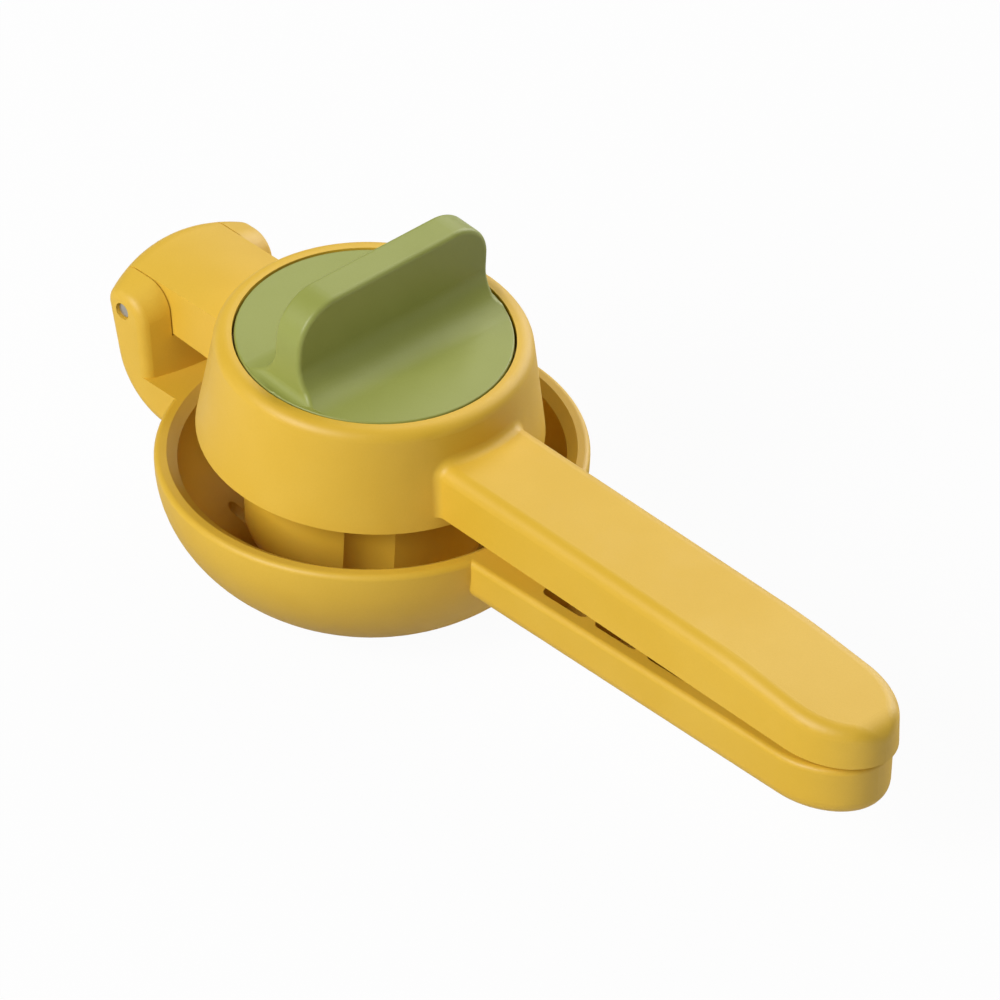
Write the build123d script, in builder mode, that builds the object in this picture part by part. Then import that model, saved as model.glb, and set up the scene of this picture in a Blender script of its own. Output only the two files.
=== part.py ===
"""Hinged lemon squeezer with a turning press head.

A bowl lever and a press lever meet at a pinned hinge. The press lever carries a ring
over the bowl. A knob in the top of the ring turns the fluted press head below it.

Millimetres. The bowl stands on its foot at z = 0, centred on the origin.
The handles point along +X and the hinge lies along Y, behind the bowl.
"""

import os
from math import cos, radians, sin, sqrt, tan

from build123d import *

# ---------------------------------------------------------------- bowl
BOWL_RADIUS = 45.0          # outside, at the rim plane
RIM_HEIGHT = 32.0           # rim plane above the foot
SIDE_DEPTH = 34.1           # upright half-axis of the elliptical outside wall
TOE_ANGLE = 46.0            # where the elliptical wall runs into the straight toe
FOOT_RADIUS = 19.0          # flat that the bowl stands on
LIP_ROUND = 1.2             # rounding outside the lip, and its rise above the rim plane
MOUTH_WALL = 4.8            # wall at the mouth
MOUTH_BEVEL = 2.2           # width of the sloping band inside the lip
MOUTH_BEVEL_DROP = 1.5      # fall of that band
MOUTH_STRAIGHT = 1.5        # mouth wall keeps its radius this far below the rim plane
CAVITY_DEPTH = 29.8         # upright half-axis of the elliptical inside wall
FLOOR_THICKNESS = 2.8
FLOOR_RADIUS = 18.0         # flat floor inside, over the foot

DRAIN_HOLE_RADIUS = 1.9
DRAIN_RINGS = ((7.0, 6), (14.0, 12))     # ring radius, number of holes
DRAIN_SLOT_WIDTH = 3.0
DRAIN_SLOT_START = 22.0     # radius at which the slots begin
DRAIN_SLOT_END = 31.5
DRAIN_SLOT_COUNT = 12

# ---------------------------------------------------------------- hinge
HINGE_REACH = 56.4          # hinge axis behind the bowl's axis
HINGE_RISE = 15.0           # hinge axis above the rim plane
CLOSED_TILT = 3.6           # the closed press lever dips towards the handle by this
PIN_RADIUS = 1.9
PIN_RECESS = 0.6            # pin ends lie this far inside the ears' faces
PIN_RUNNING_CLEARANCE = 0.05
PIN_CHAMFER = 0.4
HINGE_WIDTH = 37.2          # over both ears
KNUCKLE_WIDTH = 23.6
KNUCKLE_SIDE_CLEARANCE = 0.3
KNUCKLE_RADIUS = 10.2       # back of the knuckle round the pin, behind its stop face
BARREL_RADIUS = 8.0         # barrel of the knuckle ahead of the stop face
SADDLE_CLEARANCE = 0.4      # between the knuckle and the saddle it turns in
STOP_ANGLE = 15.0           # the stop face dips below the lever's plane by this
OPENING_ANGLE = 110.0       # swing of the press lever until its stop meets the saddle
EAR_ROUND = 6.5             # top of the ears rounds down to their front
HINGE_BACK = 7.5            # back of the hinge behind its axis, at mid width
HINGE_BACK_BULGE = 60.0     # radius of the bulging back, seen from above
HINGE_FRONT = 9.1           # front of the bracket ahead of the axis, at mid width
HINGE_FRONT_BULGE = 56.0    # radius of its front, seen from above
HINGE_LEAN = 13.0           # the hinge's back leans by this
BRACKET_FRONT_LEAN = 5.0    # and the bracket's front by this
HINGE_CROWN_RISE = 7.7      # crown of the hinge above its axis
HINGE_CROWN_RADIUS = 48.0   # across the hinge
HINGE_BACK_ROUND = 4.0
HINGE_END_ROUND = 2.5
BRACKET_DEPTH = 8.3         # underside of the bracket below the rim plane
BRACKET_BACK_ROUND = 15.0   # its back curves under the bowl's rim on this radius
ARM_THICKNESS_BELOW = 4.2   # underside of the arm below the hinge axis

# ---------------------------------------------------------------- ring of the press lever
RING_RADIUS = 36.05         # outside, at the lower edge
RING_DROP = 4.7             # lower edge below the hinge axis
RING_RISE = 18.5            # top above the hinge axis
RING_TOP_RADIUS = 32.6      # outside, at the top
RING_ROUND = 2.8
RING_WALL = 2.7
RING_BLEND = 2.0            # round the joints with the arm and the handle
DECK_THICKNESS = 3.2        # the floor inside the ring, under the knob
BOSS_RADIUS = 10.0
BOSS_LENGTH = 8.0           # bearing boss under the deck

# ---------------------------------------------------------------- handles
HANDLE_REACH = 206.6        # hinge axis to the tip of the press lever's handle
HANDLE_WIDTH = 23.7         # press lever's handle, at its lower edge
HANDLE_DRAFT = 1.5
HANDLE_THICKNESS = 11.8
HANDLE_RISE = 2.1           # slope of the handle against the ring's plane
HANDLE_ROOT_DROP = 2.0      # lower face below the hinge axis, where it meets the ring
HANDLE_TOP_ROUND = 3.0
HANDLE_NOSE = 16.5          # length of the half-elliptical tip, seen from above
HANDLE_BROW_LENGTH = 40.0   # the top slopes down over this length to the tip
HANDLE_BROW_SLOPE = 5.5
HANDLE_BROW_RADIUS = 130.0  # of the bend where that slope begins
HANDLE_TIP_ROUND = 5.0      # the top rounds over at the tip
BOWL_HANDLE_OVERHANG = 0.5  # the bowl's handle is this much wider on each side
BOWL_HANDLE_SETBACK = 2.2   # and this much shorter
BOWL_HANDLE_DRAFT = 2.0
BOWL_HANDLE_ROUND = 3.6     # lower edge
BOWL_HANDLE_DEPTH = 9.2     # its lower face below the rim plane
BOWL_HANDLE_RISE = 2.2      # its upper face rises by this towards the tip
HANDLE_WALL = 2.8           # round the pockets in the handles' facing sides
HANDLE_EDGE_ROUND = 1.2
POCKET_COUNT = 5
POCKET_RIB = 2.0
POCKET_START = 60.0         # first pocket ahead of the bowl's axis

# ---------------------------------------------------------------- knob
KNOB_RADIUS = 28.7
KNOB_GAP = 0.5              # between the knob's rim and the ring
KNOB_THICKNESS = 3.2
KNOB_EDGE_ROUND = 0.4
FIN_HEIGHT = 21.0
FIN_THICKNESS = 7.6
FIN_LENGTH = 52.2
FIN_OFFSET = 1.7            # the fin stands this far towards the handle
FIN_FLARE = 8.0             # concave flare of the fin's sides into the disc
FIN_END_FLARE = 2.0         # and of its ends
FIN_CORNER = 9.5
FIN_TOP_ROUND = 1.1
STEM_RADIUS = 6.0
STEM_RUNNING_CLEARANCE = 0.06
FACE_CLEARANCE = 0.3        # between faces that turn past each other
KEY_FLATS = 8.0             # square end of the stem
KEY_CLEARANCE = 0.05

# ---------------------------------------------------------------- press head
HEAD_TOP_RADIUS = 27.6
HEAD_DRAFT = 3.5
HEAD_DROP = 35.0            # bottom of the head below the hinge axis
HEAD_CORNER = 10.0
HEAD_WALL = 2.6
HEAD_HUB_RADIUS = 8.0
HEAD_SEAT_DEPTH = 5.5       # counterbore for the screw, up from the bottom
HEAD_SEAT_WEB = 3.5         # between that counterbore and the socket for the stem
HEAD_RIB = 2.0
FLUTE_COUNT = 4
FLUTE_RADIUS = 9.0
FLUTE_DEPTH = 2.2
FLUTE_RUN_OUT = 60.0        # radius on which the flutes rise out of the wall at the bottom
FLUTE_ANGLE = -42.0         # of the first flute about the ring's axis

# ---------------------------------------------------------------- screw and washer
SCREW_RADIUS = 2.0
SCREW_LENGTH = 14.0
SCREW_HEAD_RADIUS = 3.8
SCREW_HEAD_HEIGHT = 2.4
SCREW_HEAD_ROUND = 0.8
SCREW_SLOT_WIDTH = 1.2
SCREW_SLOT_DEPTH = 1.1
SCREW_FIT = 0.02            # the screw in the stem
SCREW_CLEARANCE = 0.2       # the screw through the head
WASHER_RADIUS = 5.0
WASHER_THICKNESS = 0.8
COUNTERBORE_CLEARANCE = 0.4

CUT_MARGIN = 1.0            # cuts run this far past the faces that they open

os.makedirs("parts", exist_ok=True)


def sagitta(radius, half_width):
    """How far an arc of this radius falls back at half_width from its crown."""
    return radius - sqrt(radius**2 - half_width**2)


# ---------------------------------------------------------------- places worked out from the sizes
hinge_z = RIM_HEIGHT + HINGE_RISE
hinge_centre = Vector(-HINGE_REACH, 0, hinge_z)
lean = tan(radians(HINGE_LEAN))
lip_top = RIM_HEIGHT + LIP_ROUND
mouth_z = RIM_HEIGHT - MOUTH_STRAIGHT
mouth_radius = BOWL_RADIUS - MOUTH_WALL
mouth_top_radius = mouth_radius + MOUTH_BEVEL

# Plan and side planes of the hinge, with their origin on its axis.
hinge_plan = Plane(origin=hinge_centre)
hinge_side = Plane(origin=hinge_centre, x_dir=(1, 0, 0), z_dir=(0, -1, 0))

# The press lever's own directions, tilted about the hinge axis when it is closed.
tilt = radians(CLOSED_TILT)
lever_x = Vector(cos(tilt), 0, -sin(tilt))
lever_z = Vector(sin(tilt), 0, cos(tilt))
lever_side = Plane(origin=hinge_centre, x_dir=lever_x, z_dir=(0, -1, 0))
ring_centre = hinge_centre + lever_x * HINGE_REACH
ring_axis = Axis(ring_centre, lever_z)
ring_plan = Plane(origin=ring_centre, x_dir=lever_x, z_dir=lever_z)
ring_side = Plane(origin=ring_centre, x_dir=lever_x, z_dir=(0, -1, 0))

knob_underside = RING_RISE - KNOB_THICKNESS
deck_top = knob_underside - FACE_CLEARANCE
deck_bottom = deck_top - DECK_THICKNESS
boss_bottom = deck_bottom - BOSS_LENGTH
hub_top = boss_bottom - FACE_CLEARANCE

# Plane of the lower face of the press lever's handle, which rises against the ring.
slope = tilt - radians(HANDLE_RISE)
handle_x = Vector(cos(slope), 0, -sin(slope))
handle_z = Vector(sin(slope), 0, cos(slope))
handle_root = ring_centre + lever_x * RING_RADIUS - lever_z * HANDLE_ROOT_DROP
handle_plan = Plane(origin=handle_root, x_dir=handle_x, z_dir=handle_z)
handle_side = Plane(origin=handle_root, x_dir=handle_x, z_dir=(0, -1, 0))
handle_length = HANDLE_REACH - HINGE_REACH - RING_RADIUS

bowl_handle_bottom = RIM_HEIGHT - BOWL_HANDLE_DEPTH
bowl_handle_tip = HANDLE_REACH - HINGE_REACH - BOWL_HANDLE_SETBACK
bowl_handle_width = HANDLE_WIDTH + 2 * BOWL_HANDLE_OVERHANG
bowl_handle_lean = BOWL_HANDLE_DEPTH * tan(radians(BOWL_HANDLE_DRAFT))

# Pockets of both handles, between the ribs across them.
pocket_end = HANDLE_REACH - HINGE_REACH - HANDLE_NOSE
pocket_pitch = (pocket_end - POCKET_START + POCKET_RIB) / POCKET_COUNT
pocket_length = pocket_pitch - POCKET_RIB
pocket_middle = (pocket_end + POCKET_START) / 2
pocket_width = HANDLE_WIDTH - 2 * HANDLE_WALL


def pockets(middle):
    """Sketch the row of pockets along X, centred on middle."""
    with Locations((middle, 0)):
        with GridLocations(pocket_pitch, pocket_width, POCKET_COUNT, 1):
            RectangleRounded(pocket_length, pocket_width, POCKET_RIB)


def handle_outline(start, tip, half_width):
    """Outline of a handle from above, along X from start to its half-elliptical tip."""
    with BuildSketch() as outline:
        with BuildLine():
            nose = EllipticalCenterArc(
                (tip - HANDLE_NOSE, 0), HANDLE_NOSE, half_width, start_angle=-90, arc_size=180
            )
            Polyline(nose @ 1, (start, half_width), (start, -half_width), nose @ 0)
        make_face()
    return outline.sketch


def half_disc(radius, angle):
    """Keep the half of a sketched disc that lies above a line at this angle."""
    Rectangle(
        2 * radius,
        radius,
        rotation=angle,
        align=(Align.CENTER, Align.MIN),
        mode=Mode.INTERSECT,
    )


def hinge_block(half_width, front, bottom):
    """Part of the hinge's crowned body, with a bulging, leaning back, above a level bottom."""
    back_end = -HINGE_BACK + sagitta(HINGE_BACK_BULGE, half_width)
    with BuildPart() as block:
        with BuildSketch(hinge_plan):
            with BuildLine():
                ThreePointArc((back_end, half_width), (-HINGE_BACK, 0), (back_end, -half_width))
                Polyline(
                    (back_end, -half_width),
                    (front, -half_width),
                    (front, half_width),
                    (back_end, half_width),
                )
            make_face()
        extrude(amount=2 * HINGE_RISE, dir=(-lean, 0, 1), both=True)
        crown = hinge_centre + Vector(0, 0, HINGE_CROWN_RISE - HINGE_CROWN_RADIUS)
        with BuildSketch(Plane(origin=crown, x_dir=(0, 1, 0), z_dir=(1, 0, 0))):
            Circle(HINGE_CROWN_RADIUS)
        extrude(amount=3 * front, both=True, mode=Mode.INTERSECT)
        split(bisect_by=Plane.XY.offset(bottom), keep=Keep.TOP)
        back_top = block.edges().group_by(Axis.Z)[-1].sort_by(Axis.X)[0]
        fillet(back_top, HINGE_BACK_ROUND)
    return block.part


# ---------------------------------------------------------------- bowl lever: its handle
with BuildPart() as bowl_handle:
    with BuildSketch(Plane.XY.offset(bowl_handle_bottom)):
        add(
            handle_outline(
                0, bowl_handle_tip - bowl_handle_lean, bowl_handle_width / 2 - bowl_handle_lean
            )
        )
    extrude(amount=2 * BOWL_HANDLE_DEPTH, taper=-BOWL_HANDLE_DRAFT)
    with BuildSketch(Plane.XZ):
        Polygon(
            (0, bowl_handle_bottom),
            (2 * bowl_handle_tip, bowl_handle_bottom),
            (2 * bowl_handle_tip, lip_top + 2 * BOWL_HANDLE_RISE),
            (BOWL_RADIUS, lip_top),
            (0, lip_top),
            align=None,
        )
    extrude(amount=bowl_handle_width, both=True, mode=Mode.INTERSECT)
    top_face = bowl_handle.faces().filter_by(lambda f: f.normal_at().Z > 0.9).sort_by(Axis.X)[-1]
    fillet(top_face.edges().sort_by(Axis.X)[1:], HANDLE_EDGE_ROUND)
    bottom_face = bowl_handle.faces().sort_by(Axis.Z)[0]
    fillet(bottom_face.edges().sort_by(Axis.X)[1:], BOWL_HANDLE_ROUND)
    with BuildSketch(Plane.XY.offset(bowl_handle_bottom + HANDLE_WALL)):
        pockets(pocket_middle)
    extrude(amount=2 * BOWL_HANDLE_DEPTH, mode=Mode.SUBTRACT)

# ---------------------------------------------------------------- bowl lever: hinge bracket
ear_gap = KNUCKLE_WIDTH + 2 * KNUCKLE_SIDE_CLEARANCE
front_lean = tan(radians(BRACKET_FRONT_LEAN))
bracket_bottom = RIM_HEIGHT - BRACKET_DEPTH
front_end = HINGE_FRONT - sagitta(HINGE_FRONT_BULGE, HINGE_WIDTH / 2)
ear_depth = front_end + HINGE_BACK - sagitta(HINGE_BACK_BULGE, HINGE_WIDTH / 2)

# The round down an ear's front begins no further back than where the round of its back ends.
back_round_reach = HINGE_BACK_ROUND * tan(radians(90 - HINGE_LEAN) / 2)
front_round_room = (ear_depth - back_round_reach) / tan(radians(90 + BRACKET_FRONT_LEAN) / 2)
ear_round = min(EAR_ROUND, front_round_room)

with BuildPart() as bracket:
    add(hinge_block(HINGE_WIDTH / 2, HINGE_REACH / 2, bracket_bottom))
    back_foot = bracket.faces().sort_by(Axis.Z)[0].edges().sort_by(Axis.X)[0]
    fillet(back_foot, BRACKET_BACK_ROUND)
    # Front of the ears, which bulges and leans back from the ledge at the rim's level.
    with BuildSketch(hinge_plan):
        with BuildLine():
            ThreePointArc(
                (front_end, HINGE_WIDTH / 2), (HINGE_FRONT, 0), (front_end, -HINGE_WIDTH / 2)
            )
            Polyline(
                (front_end, -HINGE_WIDTH / 2),
                (HINGE_REACH, -HINGE_WIDTH / 2),
                (HINGE_REACH, HINGE_WIDTH / 2),
                (front_end, HINGE_WIDTH / 2),
            )
        make_face()
    ear_height = (hinge_z - lip_top) / cos(radians(BRACKET_FRONT_LEAN))
    extrude(amount=ear_height, dir=(-front_lean, 0, 1), both=True, mode=Mode.SUBTRACT)
    crown_front = bracket.faces().sort_by(Axis.Z)[-1].edges().sort_by(Axis.X)[-1]
    fillet(crown_front, ear_round)
    ends = bracket.faces().filter_by(Axis.Y).edges()
    behind = ends.filter_by(lambda e: e.center().X < HINGE_FRONT - HINGE_REACH)
    fillet(behind, HINGE_END_ROUND)
    # Slot for the knuckle, with a stepped saddle below it.
    with BuildSketch(lever_side):
        Circle(KNUCKLE_RADIUS + SADDLE_CLEARANCE)
        half_disc(KNUCKLE_RADIUS + SADDLE_CLEARANCE, STOP_ANGLE + OPENING_ANGLE)
        Circle(BARREL_RADIUS + SADDLE_CLEARANCE)
        with Locations((0, -ARM_THICKNESS_BELOW - SADDLE_CLEARANCE)):
            Rectangle(HINGE_WIDTH, HINGE_WIDTH, align=(Align.MIN, Align.MIN))
        Rectangle(HINGE_WIDTH, HINGE_WIDTH, align=(Align.MAX, Align.MIN))
    extrude(amount=ear_gap / 2, both=True, mode=Mode.SUBTRACT)

# ---------------------------------------------------------------- bowl lever
with BuildPart() as bowl_lever:
    # Outside of the bowl, with its rounded lip.
    with BuildSketch(Plane.XZ):
        with BuildLine():
            wall = EllipticalCenterArc(
                (0, RIM_HEIGHT), BOWL_RADIUS, SIDE_DEPTH, start_angle=-TOE_ANGLE, arc_size=TOE_ANGLE
            )
            lip = JernArc(start=wall @ 1, tangent=(0, 1), radius=LIP_ROUND, arc_size=90)
            Polyline(lip @ 1, (0, lip_top), (0, 0), (FOOT_RADIUS, 0), wall @ 0)
        make_face()
    revolve(axis=Axis.Z)
    add(bowl_handle.part)
    add(bracket.part)

    # Inside of the bowl, open above the mouth.
    with BuildSketch(Plane.XZ):
        with BuildLine():
            cavity = EllipticalCenterArc(
                (0, mouth_z), mouth_radius, CAVITY_DEPTH, start_angle=-TOE_ANGLE, arc_size=TOE_ANGLE
            )
            Polyline(
                cavity @ 1,
                (mouth_radius, lip_top - MOUTH_BEVEL_DROP),
                (mouth_top_radius, lip_top),
                (mouth_top_radius, hinge_z + HINGE_RISE),
                (0, hinge_z + HINGE_RISE),
                (0, FLOOR_THICKNESS),
                (FLOOR_RADIUS, FLOOR_THICKNESS),
                cavity @ 0,
            )
        make_face()
    revolve(axis=Axis.Z, mode=Mode.SUBTRACT)

    # Drain: rings of holes in the flat of the foot and slots up the toe.
    with BuildSketch():
        for ring_radius, hole_count in DRAIN_RINGS:
            with PolarLocations(ring_radius, hole_count):
                Circle(DRAIN_HOLE_RADIUS)
        slot_length = DRAIN_SLOT_END - DRAIN_SLOT_START
        with PolarLocations((DRAIN_SLOT_START + DRAIN_SLOT_END) / 2, DRAIN_SLOT_COUNT):
            SlotOverall(slot_length, DRAIN_SLOT_WIDTH)
    extrude(amount=mouth_z / 2, mode=Mode.SUBTRACT)

    # Seats of the hinge pin in both ears.
    with BuildSketch(hinge_side):
        Circle(PIN_RADIUS)
    extrude(amount=HINGE_WIDTH, both=True, mode=Mode.SUBTRACT)

# ---------------------------------------------------------------- press lever
arm_end = HINGE_REACH - RING_RADIUS + KNUCKLE_WIDTH / 2
skirt_slope = (RING_RADIUS - RING_TOP_RADIUS) / (RING_DROP + RING_RISE)

# Knuckle and arm: the crowned body of the hinge, cut to their outline from the side.
with BuildPart() as arm:
    add(hinge_block(KNUCKLE_WIDTH / 2, arm_end, RIM_HEIGHT))
    with BuildSketch(lever_side):
        Circle(KNUCKLE_RADIUS)
        half_disc(KNUCKLE_RADIUS, STOP_ANGLE)
        Circle(BARREL_RADIUS)
        with Locations((0, -ARM_THICKNESS_BELOW)):
            Rectangle(HINGE_REACH, RING_RISE, align=(Align.MIN, Align.MIN))
    extrude(amount=KNUCKLE_WIDTH, both=True, mode=Mode.INTERSECT)

# Handle, rounded down to its tip and hollowed from below.
with BuildPart() as press_handle:
    with BuildSketch(handle_plan):
        add(handle_outline(-RING_RADIUS / 2, handle_length, HANDLE_WIDTH / 2))
    extrude(amount=HANDLE_THICKNESS, taper=HANDLE_DRAFT)
    with BuildSketch(handle_side):
        with BuildLine():
            flat = Line(
                (-RING_RADIUS, HANDLE_THICKNESS),
                (handle_length - HANDLE_BROW_LENGTH, HANDLE_THICKNESS),
            )
            bend = JernArc(
                start=flat @ 1,
                tangent=flat % 1,
                radius=HANDLE_BROW_RADIUS,
                arc_size=-HANDLE_BROW_SLOPE,
            )
            fall = (handle_length - (bend @ 1).X) * tan(radians(HANDLE_BROW_SLOPE))
            tip_top = (handle_length, (bend @ 1).Y - fall)
            Polyline(bend @ 1, tip_top, (handle_length, 0), (-RING_RADIUS, 0), flat @ 0)
        make_face()
        brow = vertices().group_by(Axis.X)[-1].sort_by(Axis.Y)[-1]
        fillet(brow, HANDLE_TIP_ROUND)
    extrude(amount=HANDLE_WIDTH, both=True, mode=Mode.INTERSECT)
    top_edges = press_handle.faces().filter_by(lambda f: f.normal_at().Z > 0.5).edges()
    side_edges = top_edges.filter_by(lambda e: abs(e.center().Y) > HANDLE_WIDTH / 4)
    nose_edges = top_edges.sort_by(Axis.X)[-2:]
    fillet(side_edges + nose_edges, HANDLE_TOP_ROUND)

with BuildPart() as press_lever:
    # Ring, solid at first.
    with BuildSketch(ring_side):
        Polygon(
            (0, -RING_DROP),
            (RING_RADIUS, -RING_DROP),
            (RING_TOP_RADIUS, RING_RISE),
            (0, RING_RISE),
            align=None,
        )
    revolve(axis=ring_axis)
    fillet(press_lever.edges().sort_by(Axis(ring_centre, lever_z))[-1], RING_ROUND)
    add(arm.part)
    add(press_handle.part)
    # Blends up the sides and across the top of both joints with the ring's wall.
    ring_wall = press_lever.faces().filter_by(GeomType.CONE).sort_by(SortBy.AREA)[-1]
    wall_edges = ring_wall.edges().filter_by(
        lambda e: (e.center() - ring_centre).dot(lever_z) > 0
    )
    joints = wall_edges.filter_by(lambda e: e.geom_type not in (GeomType.CIRCLE, GeomType.LINE))
    fillet(joints, RING_BLEND)

    # Skirt open below, with a deck across it and the bearing boss under the deck.
    with BuildSketch(ring_side):
        Polygon(
            (0, -RING_DROP - CUT_MARGIN),
            (RING_RADIUS - RING_WALL, -RING_DROP - CUT_MARGIN),
            (RING_RADIUS - RING_WALL, -RING_DROP),
            (RING_TOP_RADIUS - RING_WALL + skirt_slope * (RING_RISE - deck_bottom), deck_bottom),
            (BOSS_RADIUS, deck_bottom),
            (BOSS_RADIUS, boss_bottom),
            (0, boss_bottom),
            align=None,
        )
    revolve(axis=ring_axis, mode=Mode.SUBTRACT)

    # Seat of the knob and its bearing through the deck and the boss.
    with BuildSketch(ring_plan.offset(deck_top)):
        Circle(KNOB_RADIUS + KNOB_GAP)
    extrude(amount=RING_RISE, mode=Mode.SUBTRACT)
    with BuildSketch(ring_plan):
        Circle(STEM_RADIUS + STEM_RUNNING_CLEARANCE)
    extrude(amount=RING_RISE, mode=Mode.SUBTRACT)

    # Pockets in the underside of the handle.
    with BuildSketch(handle_plan.offset(-CUT_MARGIN)):
        pockets(pocket_middle - RING_RADIUS)
    extrude(amount=HANDLE_THICKNESS - HANDLE_WALL + CUT_MARGIN, mode=Mode.SUBTRACT)

    # Bore of the knuckle for the hinge pin.
    with BuildSketch(hinge_side):
        Circle(PIN_RADIUS + PIN_RUNNING_CLEARANCE)
    extrude(amount=HINGE_WIDTH, both=True, mode=Mode.SUBTRACT)

# ---------------------------------------------------------------- turn knob
seat_z = -HEAD_DROP + HEAD_SEAT_DEPTH
key_end = seat_z + HEAD_SEAT_WEB
knob_top = RING_RISE
across_ring = Plane(origin=ring_centre, x_dir=(0, 1, 0), z_dir=lever_x)

# Grip fin: a flared profile drawn out across the handle, with rounded upper corners.
with BuildPart() as fin:
    with BuildSketch(ring_side):
        with Locations((FIN_OFFSET, knob_top - KNOB_EDGE_ROUND)):
            fin_rise = FIN_HEIGHT + KNOB_EDGE_ROUND
            Rectangle(FIN_THICKNESS, fin_rise, align=(Align.CENTER, Align.MIN))
        with Locations((FIN_OFFSET, knob_top)):
            fin_foot = FIN_THICKNESS + 2 * FIN_FLARE
            Rectangle(fin_foot, FIN_FLARE, align=(Align.CENTER, Align.MIN))
        with Locations((FIN_OFFSET, knob_top + FIN_FLARE)):
            with GridLocations(fin_foot, 1, 2, 1):
                Circle(FIN_FLARE, mode=Mode.SUBTRACT)
    extrude(amount=KNOB_RADIUS, both=True)
    with BuildSketch(across_ring):
        with Locations((0, knob_top)):
            Rectangle(FIN_LENGTH, 2 * FIN_HEIGHT)
        fillet(vertices().group_by(Axis.Y)[-1], FIN_CORNER)
        with Locations((0, knob_top)):
            Rectangle(FIN_LENGTH + 2 * FIN_END_FLARE, 2 * FIN_END_FLARE)
        with Locations((0, knob_top + FIN_END_FLARE)):
            with GridLocations(FIN_LENGTH + 2 * FIN_END_FLARE, 1, 2, 1):
                Circle(FIN_END_FLARE, mode=Mode.SUBTRACT)
    extrude(amount=BOSS_RADIUS + FIN_FLARE, both=True, mode=Mode.INTERSECT)
    with BuildSketch(ring_plan):
        Circle(KNOB_RADIUS - KNOB_EDGE_ROUND)
    extrude(amount=2 * RING_RISE + FIN_HEIGHT, mode=Mode.INTERSECT)
    fin_sides = fin.faces().filter_by(lambda f: abs(f.normal_at().dot(lever_x)) > 0.99)
    upright = fin_sides.filter_by(lambda f: f.center().Z > ring_centre.Z + knob_top + FIN_FLARE)
    rounded = [edge for face in upright for edge in face.edges().sort_by(Axis.Z)[1:]]
    fillet(rounded, FIN_TOP_ROUND)

with BuildPart() as turn_knob:
    # Disc that lies flush in the ring.
    with BuildSketch(ring_plan.offset(knob_underside)):
        Circle(KNOB_RADIUS)
    extrude(amount=KNOB_THICKNESS)
    fillet(turn_knob.edges().sort_by(Axis(ring_centre, lever_z))[-1], KNOB_EDGE_ROUND)
    add(fin.part)

    # Stem: round where it turns in the boss, square where it drives the head.
    with BuildSketch(ring_plan.offset(hub_top)):
        Circle(STEM_RADIUS)
    extrude(amount=knob_underside - hub_top)
    with BuildSketch(ring_plan.offset(key_end)):
        Rectangle(KEY_FLATS, KEY_FLATS)
    extrude(amount=hub_top - key_end)
    with BuildSketch(ring_plan.offset(key_end)):
        Circle(SCREW_RADIUS + SCREW_FIT)
    extrude(amount=SCREW_LENGTH, mode=Mode.SUBTRACT)

# ---------------------------------------------------------------- press head
taper = tan(radians(HEAD_DRAFT))
head_foot_radius = HEAD_TOP_RADIUS - (hub_top + HEAD_DROP) * taper
flute_offset = FLUTE_RADIUS - FLUTE_DEPTH


def flute(radius):
    """Rod down one flute, parallel to the wall, that swings out of it at the bottom."""
    angle = radians(FLUTE_ANGLE)
    outward = lever_x * cos(angle) + Vector(0, sin(angle), 0)
    side = Plane(origin=ring_centre, x_dir=outward, z_dir=outward.cross(lever_z))
    start = (HEAD_TOP_RADIUS + flute_offset + CUT_MARGIN * taper, hub_top + CUT_MARGIN)
    run_out_z = -HEAD_DROP + HEAD_CORNER
    end = (HEAD_TOP_RADIUS - (hub_top - run_out_z) * taper + flute_offset, run_out_z)
    with BuildPart() as rod:
        with BuildLine(side) as path:
            upright = Line(start, end)
            JernArc(start=end, tangent=upright % 1, radius=FLUTE_RUN_OUT, arc_size=20)
        with BuildSketch(ring_plan.offset(hub_top + CUT_MARGIN)):
            with Locations(Rotation(0, 0, FLUTE_ANGLE) * Location((start[0], 0))):
                Circle(radius)
        sweep(path=path.line)
    return rod.part


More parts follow.
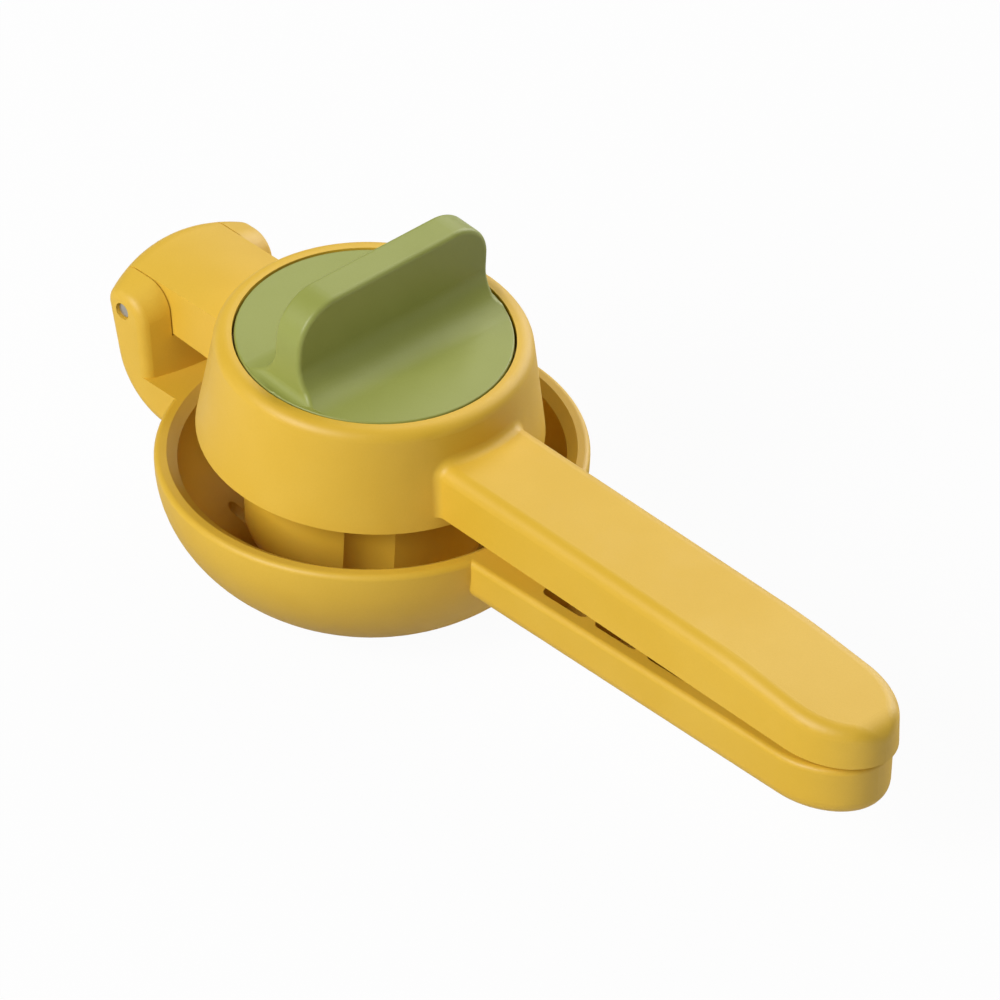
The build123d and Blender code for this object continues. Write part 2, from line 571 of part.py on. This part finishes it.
with BuildPart() as press_head:
    # Outside: drafted wall, rounded lower corner and flat bottom.
    with BuildSketch(ring_side):
        Polygon(
            (0, -HEAD_DROP),
            (head_foot_radius, -HEAD_DROP),
            (HEAD_TOP_RADIUS, hub_top),
            (0, hub_top),
            align=None,
        )
        fillet(vertices().group_by(Axis.Y)[0].sort_by(Axis.X)[-1], HEAD_CORNER)
    revolve(axis=ring_axis)
    for quarter in range(FLUTE_COUNT):
        add(
            flute(FLUTE_RADIUS).rotate(ring_axis, quarter * 360 / FLUTE_COUNT),
            mode=Mode.SUBTRACT,
        )

    # Hollow from above, following the flutes, between the hub and four ribs.
    with BuildPart(mode=Mode.PRIVATE) as hollow:
        with BuildSketch(ring_side):
            Polygon(
                (HEAD_HUB_RADIUS, -HEAD_DROP + HEAD_WALL),
                (head_foot_radius - HEAD_WALL, -HEAD_DROP + HEAD_WALL),
                (HEAD_TOP_RADIUS - HEAD_WALL, hub_top),
                (HEAD_TOP_RADIUS - HEAD_WALL, hub_top + CUT_MARGIN),
                (HEAD_HUB_RADIUS, hub_top + CUT_MARGIN),
                align=None,
            )
            floor_corner = vertices().group_by(Axis.Y)[0].sort_by(Axis.X)[-1]
            fillet(floor_corner, HEAD_CORNER - HEAD_WALL)
        revolve(axis=ring_axis)
        for quarter in range(FLUTE_COUNT):
            add(
                flute(FLUTE_RADIUS + HEAD_WALL).rotate(ring_axis, quarter * 360 / FLUTE_COUNT),
                mode=Mode.SUBTRACT,
            )
        with BuildSketch(ring_plan.offset(-HEAD_DROP)):
            with PolarLocations(0, FLUTE_COUNT, start_angle=FLUTE_ANGLE + 180 / FLUTE_COUNT):
                Rectangle(HEAD_TOP_RADIUS, HEAD_RIB, align=(Align.MIN, Align.CENTER))
        extrude(amount=2 * HEAD_DROP, mode=Mode.SUBTRACT)
    add(hollow.part, mode=Mode.SUBTRACT)

    # Square socket for the stem, hole for the screw and its seat in the bottom.
    with BuildSketch(ring_plan.offset(key_end)):
        Rectangle(KEY_FLATS + 2 * KEY_CLEARANCE, KEY_FLATS + 2 * KEY_CLEARANCE)
    extrude(amount=2 * HEAD_DROP, mode=Mode.SUBTRACT)
    with BuildSketch(ring_plan.offset(-HEAD_DROP)):
        Circle(SCREW_RADIUS + SCREW_CLEARANCE)
    extrude(amount=HEAD_DROP, mode=Mode.SUBTRACT)
    with BuildSketch(ring_plan.offset(seat_z)):
        Circle(WASHER_RADIUS + COUNTERBORE_CLEARANCE)
    extrude(amount=-HEAD_DROP, mode=Mode.SUBTRACT)

# ---------------------------------------------------------------- pin, screw and washer
with BuildPart() as hinge_pin:
    with BuildSketch(hinge_side):
        Circle(PIN_RADIUS)
    extrude(amount=HINGE_WIDTH / 2 - PIN_RECESS, both=True)
    chamfer(hinge_pin.edges().filter_by(GeomType.CIRCLE), PIN_CHAMFER)

under_washer = ring_plan.offset(seat_z - WASHER_THICKNESS)

with BuildPart() as knob_washer:
    with BuildSketch(under_washer):
        Circle(WASHER_RADIUS)
        Circle(SCREW_RADIUS + SCREW_CLEARANCE, mode=Mode.SUBTRACT)
    extrude(amount=WASHER_THICKNESS)

with BuildPart() as knob_screw:
    with BuildSketch(under_washer):
        Circle(SCREW_HEAD_RADIUS)
    extrude(amount=-SCREW_HEAD_HEIGHT)
    fillet(knob_screw.edges().sort_by(Axis.Z)[0], SCREW_HEAD_ROUND)
    with BuildSketch(under_washer):
        Circle(SCREW_RADIUS)
    extrude(amount=SCREW_LENGTH)
    chamfer(knob_screw.edges().sort_by(Axis.Z)[-1], PIN_CHAMFER)
    with BuildSketch(under_washer.offset(-SCREW_HEAD_HEIGHT)):
        Rectangle(2 * SCREW_HEAD_RADIUS, SCREW_SLOT_WIDTH)
    extrude(amount=SCREW_SLOT_DEPTH, mode=Mode.SUBTRACT)

# ---------------------------------------------------------------- labels and files
bowl_lever.part.label = "bowl_lever"
press_lever.part.label = "press_lever"
turn_knob.part.label = "turn_knob"
press_head.part.label = "press_head"
hinge_pin.part.label = "hinge_pin"
knob_screw.part.label = "knob_screw"
knob_washer.part.label = "knob_washer"

export_step(bowl_lever.part, "parts/bowl_lever.step")
export_step(press_lever.part, "parts/press_lever.step")
export_step(turn_knob.part, "parts/turn_knob.step")
export_step(press_head.part, "parts/press_head.step")
export_step(hinge_pin.part, "parts/hinge_pin.step")
export_step(knob_screw.part, "parts/knob_screw.step")
export_step(knob_washer.part, "parts/knob_washer.step")
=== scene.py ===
"""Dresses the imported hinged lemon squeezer: moulded plastics, steel, floor, light and camera."""

import math

import bmesh
import bpy
from mathutils import Matrix, Vector

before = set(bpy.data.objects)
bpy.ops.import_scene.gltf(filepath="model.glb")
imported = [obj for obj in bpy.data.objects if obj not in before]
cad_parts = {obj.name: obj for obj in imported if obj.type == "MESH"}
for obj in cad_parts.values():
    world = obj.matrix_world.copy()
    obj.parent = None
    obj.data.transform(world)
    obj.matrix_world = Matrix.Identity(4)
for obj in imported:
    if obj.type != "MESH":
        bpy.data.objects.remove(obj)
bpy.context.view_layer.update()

# ---------------------------------------------------------------- colours and finishes
WHITE = (1.0, 1.0, 1.0)
YELLOW = (0.74, 0.455, 0.035)
YELLOW_PALE = (0.77, 0.485, 0.050)
GREEN = (0.300, 0.330, 0.068)
GREEN_PALE = (0.325, 0.355, 0.085)
STEEL = (0.56, 0.54, 0.50)
STEEL_DULL = (0.42, 0.40, 0.37)
FLOOR = (0.66, 0.66, 0.66)

YELLOW_ROUGHNESS = 0.46
GREEN_ROUGHNESS = 0.44
STEEL_ROUGHNESS = 0.30
PLASTIC_IOR = 1.49
FLECK_SHADE = 0.86                          # colour of the grain's dark flecks, as a share
GRAIN_HEIGHT = 0.00004
STEEL_LINE_HEIGHT = 0.00003
NOISE_MIDDLE = 0.5

# Noise scales, in waves a metre.
CLOUD_SCALE = 28.0
RUB_SCALE = 75.0
HAIRLINE_SCALE = 130.0
GRAIN_SCALE = 2600.0
FINE_GRAIN_SCALE = 5200.0
STEEL_PATCH_SCALE = 260.0
STEEL_LINE_SCALE = 3800.0
STEEL_LINE_STRETCH = 0.04                   # of the lines' scale along Y

# ---------------------------------------------------------------- floor, view and light
FLOOR_HALF = 12.0
FLOOR_DROP = 0.0001                         # keeps the floor clear of the foot's face
FLOOR_WHITENESS = 0.96                      # how far the shadow fades to white for the camera

RIM_CENTRE = Vector((0.0, 0.0, 0.032))      # middle of the bowl's rim
VIEW_AZIMUTH = math.radians(47.0)
VIEW_ELEVATION = math.radians(36.434)
VIEW_DISTANCE = 2.0
VIEW_RIGHT = 0.026354                       # the rim's middle lies left of the view's axis
VIEW_DOWN = 0.010087                        # and above it
LENS = 349.4
SENSOR = 36.0
CLIP_END = 50.0

LIT_POINT = Vector((0.03, 0.0, 0.03))
LAMP_DISTANCE = 1.5
AMBIENT = 0.13                              # strength of the even light from all round

# Each lamp's direction as right, up and towards the camera, then its width, height and power.
LAMPS = {
    "key_light": ((-0.78, 0.68, 0.62), 0.8, 0.8, 21.0),
    "back_light": ((0.56, 0.70, -0.70), 1.6, 1.1, 17.0),
    "side_light": ((0.64, 0.25, -0.72), 0.9, 0.9, 7.0),
}


# ---------------------------------------------------------------- shader maths
class Socket:
    """A shader value that takes part in Python sums."""

    def __init__(self, graph, output):
        self.graph = graph
        self.output = output

    def _sum(self, operation, first, second):
        return self.graph.node("ShaderNodeMath", {"operation": operation}, {0: first, 1: second})

    def __add__(self, other):
        return self._sum("ADD", self, other)

    def __radd__(self, other):
        return self._sum("ADD", other, self)

    def __sub__(self, other):
        return self._sum("SUBTRACT", self, other)

    def __rsub__(self, other):
        return self._sum("SUBTRACT", other, self)

    def __mul__(self, other):
        return self._sum("MULTIPLY", self, other)

    def __rmul__(self, other):
        return self._sum("MULTIPLY", other, self)


class Graph:
    """The node tree of one material, or of the world."""

    def __init__(self, owner):
        self.owner = owner
        self.owner.use_nodes = True
        self.tree = self.owner.node_tree
        self.tree.nodes.clear()

    def node(self, kind, settings=None, inputs=None, output=0):
        """Adds a node, sets it up and fills its sockets, and gives back one of its outputs."""
        made = self.tree.nodes.new(kind)
        for key, value in (settings or {}).items():
            setattr(made, key, value)
        for key, value in (inputs or {}).items():
            if isinstance(value, Socket):
                self.tree.links.new(value.output, made.inputs[key])
            else:
                made.inputs[key].default_value = value
        return Socket(self, made.outputs[output]) if made.outputs else made

    def place(self):
        """Object coordinates, in metres."""
        return self.node("ShaderNodeTexCoord", output="Object")

    def noise(self, scale, detail, roughness, vector=None):
        """Noise over the piece, or over vector."""
        return self.node(
            "ShaderNodeTexNoise",
            {},
            {
                "Vector": vector or self.place(),
                "Scale": scale,
                "Detail": detail,
                "Roughness": roughness,
            },
        )

    def spread(self, value, low, high, to_low=0.0, to_high=1.0):
        """Maps value from low..high to to_low..to_high, and holds it there beyond."""
        return self.node(
            "ShaderNodeMapRange",
            {"clamp": True, "interpolation_type": "SMOOTHSTEP"},
            {
                "Value": value,
                "From Min": low,
                "From Max": high,
                "To Min": to_low,
                "To Max": to_high,
            },
        )

    def mix(self, factor, first, second):
        """Mixes two colours."""
        return self.node(
            "ShaderNodeMix",
            {"data_type": "RGBA"},
            {0: factor, 6: first, 7: second},
            output=2,
        )

    def bump(self, height, distance, strength):
        """A normal that follows height, where 1 stands distance metres proud."""
        return self.node(
            "ShaderNodeBump",
            {},
            {"Height": height, "Distance": distance, "Strength": strength},
        )

    def surface(self, shader, kind="ShaderNodeOutputMaterial"):
        """Closes the tree with shader and gives back its owner."""
        self.node(kind, {}, {"Surface": shader})
        return self.owner


def new_material(name):
    return Graph(bpy.data.materials.new(name))


def rgba(colour):
    return (*colour, 1.0)


def moulded_plastic(name, colour, pale, rough):
    """Satin moulded plastic: spark-eroded grain, faint flow clouds, rubbed spots and hairlines."""
    graph = new_material(name)
    clouds = graph.noise(CLOUD_SCALE, 3.0, 0.55)
    grain = graph.noise(GRAIN_SCALE, 2.0, 0.6)
    fine = graph.noise(FINE_GRAIN_SCALE, 1.0, 0.5)
    rubbed = graph.spread(graph.noise(RUB_SCALE, 4.0, 0.6), 0.52, 0.70)
    tone = graph.mix(graph.spread(clouds, 0.35, 0.65), rgba(colour), rgba(pale))
    fleck = graph.spread(grain, 0.40, 0.62, 0.0, 0.10)
    darker = tuple(FLECK_SHADE * part for part in colour)
    tone = graph.mix(fleck, tone, rgba(darker))
    hairline = graph.node(
        "ShaderNodeTexVoronoi",
        {"feature": "DISTANCE_TO_EDGE"},
        {"Vector": graph.place(), "Scale": HAIRLINE_SCALE},
        output="Distance",
    )
    scratch = graph.spread(hairline, 0.0, 0.012, 1.0, 0.0) * graph.spread(clouds, 0.50, 0.62)
    cloudy = 0.07 * (clouds - NOISE_MIDDLE)
    grainy = 0.06 * (grain - NOISE_MIDDLE)
    roughness = rough + cloudy - 0.05 * rubbed + grainy
    height = 0.7 * grain + 0.3 * fine - 0.12 * scratch
    shader = graph.node(
        "ShaderNodeBsdfPrincipled",
        {},
        {
            "Base Color": tone,
            "Roughness": roughness,
            "IOR": PLASTIC_IOR,
            "Normal": graph.bump(height, GRAIN_HEIGHT, 0.5),
        },
    )
    return graph.surface(shader)


def drawn_steel(name):
    """Plain drawn steel with faint lines along Y and dull patches."""
    graph = new_material(name)
    stretched = graph.node(
        "ShaderNodeMapping",
        {},
        {"Vector": graph.place(), "Scale": (1.0, STEEL_LINE_STRETCH, 1.0)},
    )
    lines = graph.noise(STEEL_LINE_SCALE, 3.0, 0.6, stretched)
    patches = graph.spread(graph.noise(STEEL_PATCH_SCALE, 3.0, 0.6), 0.42, 0.66)
    tone = graph.mix(patches, rgba(STEEL), rgba(STEEL_DULL))
    shader = graph.node(
        "ShaderNodeBsdfPrincipled",
        {},
        {
            "Base Color": tone,
            "Metallic": 1.0,
            "Roughness": STEEL_ROUGHNESS + 0.16 * patches + 0.10 * (lines - NOISE_MIDDLE),
            "Normal": graph.bump(lines, STEEL_LINE_HEIGHT, 0.4),
        },
    )
    return graph.surface(shader)


def white_floor():
    """A pale floor that shows white, keeps a soft shadow, and is clear from underneath."""
    graph = new_material("pale_floor")
    paper = graph.node("ShaderNodeBsdfDiffuse", {}, {"Color": rgba(FLOOR), "Roughness": 1.0})
    glow = graph.node("ShaderNodeEmission", {}, {"Color": rgba(WHITE), "Strength": 1.0})
    seen = FLOOR_WHITENESS * graph.node("ShaderNodeLightPath", output="Is Camera Ray")
    top = graph.node("ShaderNodeMixShader", {}, {0: seen, 1: paper, 2: glow})
    under = graph.node("ShaderNodeNewGeometry", output="Backfacing")
    clear = graph.node("ShaderNodeBsdfTransparent")
    return graph.surface(graph.node("ShaderNodeMixShader", {}, {0: under, 1: top, 2: clear}))


yellow = moulded_plastic("yellow_plastic_satin", YELLOW, YELLOW_PALE, YELLOW_ROUGHNESS)
green = moulded_plastic("green_plastic_satin", GREEN, GREEN_PALE, GREEN_ROUGHNESS)
steel = drawn_steel("drawn_steel")

FINISHES = {
    "bowl_lever": yellow,
    "press_lever": yellow,
    "press_head": yellow,
    "turn_knob": green,
    "hinge_pin": steel,
    "knob_screw": steel,
    "knob_washer": steel,
}
for node, finish in FINISHES.items():
    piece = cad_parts[node]
    piece.data.materials.clear()
    piece.data.materials.append(finish)


# ---------------------------------------------------------------- floor
def sheet_of_floor(name, half, height):
    """A level square sheet that reaches half from the middle each way."""
    grid = bmesh.new()
    bmesh.ops.create_grid(grid, x_segments=1, y_segments=1, size=half)
    bmesh.ops.translate(grid, verts=grid.verts, vec=(0.0, 0.0, height))
    mesh = bpy.data.meshes.new(name)
    grid.to_mesh(mesh)
    grid.free()
    made = bpy.data.objects.new(name, mesh)
    bpy.context.collection.objects.link(made)
    return made


floor = sheet_of_floor("floor", FLOOR_HALF, -FLOOR_DROP)
floor.data.materials.append(white_floor())


# ---------------------------------------------------------------- camera
view_right = Vector((math.cos(VIEW_AZIMUTH), math.sin(VIEW_AZIMUTH), 0.0))
view_back = Vector(
    (
        math.sin(VIEW_AZIMUTH) * math.cos(VIEW_ELEVATION),
        -math.cos(VIEW_AZIMUTH) * math.cos(VIEW_ELEVATION),
        math.sin(VIEW_ELEVATION),
    )
)
view_up = view_back.cross(view_right)

camera_data = bpy.data.cameras.new("camera")
camera_data.lens = LENS
camera_data.sensor_width = SENSOR
camera_data.clip_end = CLIP_END
camera = bpy.data.objects.new("camera", camera_data)
bpy.context.collection.objects.link(camera)
axes = Matrix((view_right, view_up, view_back)).transposed().to_4x4()
eye = RIM_CENTRE + view_back * VIEW_DISTANCE + view_right * VIEW_RIGHT - view_up * VIEW_DOWN
camera.matrix_world = Matrix.Translation(eye) @ axes
bpy.context.scene.camera = camera


# ---------------------------------------------------------------- light
def soft_box(name, direction, width, height, power):
    """An area light that faces the lit point from direction."""
    lamp = bpy.data.lights.new(name, "AREA")
    lamp.shape = "RECTANGLE"
    lamp.size = width
    lamp.size_y = height
    lamp.energy = power
    made = bpy.data.objects.new(name, lamp)
    bpy.context.collection.objects.link(made)
    right, up, near = direction
    towards = view_right * right + Vector((0, 0, 1)) * up + view_near * near
    towards.normalize()
    made.matrix_world = (
        Matrix.Translation(LIT_POINT + towards * LAMP_DISTANCE)
        @ towards.to_track_quat("Z", "Y").to_matrix().to_4x4()
    )


view_near = Vector((view_back.x, view_back.y, 0.0)).normalized()
for name, facts in LAMPS.items():
    soft_box(name, *facts)

# The world shows white to the camera and lights the object dimly.
world = bpy.data.worlds.new("studio")
bpy.context.scene.world = world
studio = Graph(world)
shown = studio.node("ShaderNodeLightPath", output="Is Camera Ray")
white = studio.node(
    "ShaderNodeBackground",
    {},
    {"Color": rgba(WHITE), "Strength": AMBIENT + (1.0 - AMBIENT) * shown},
)
studio.surface(white, "ShaderNodeOutputWorld")

bpy.context.scene.view_settings.view_transform = "Standard"
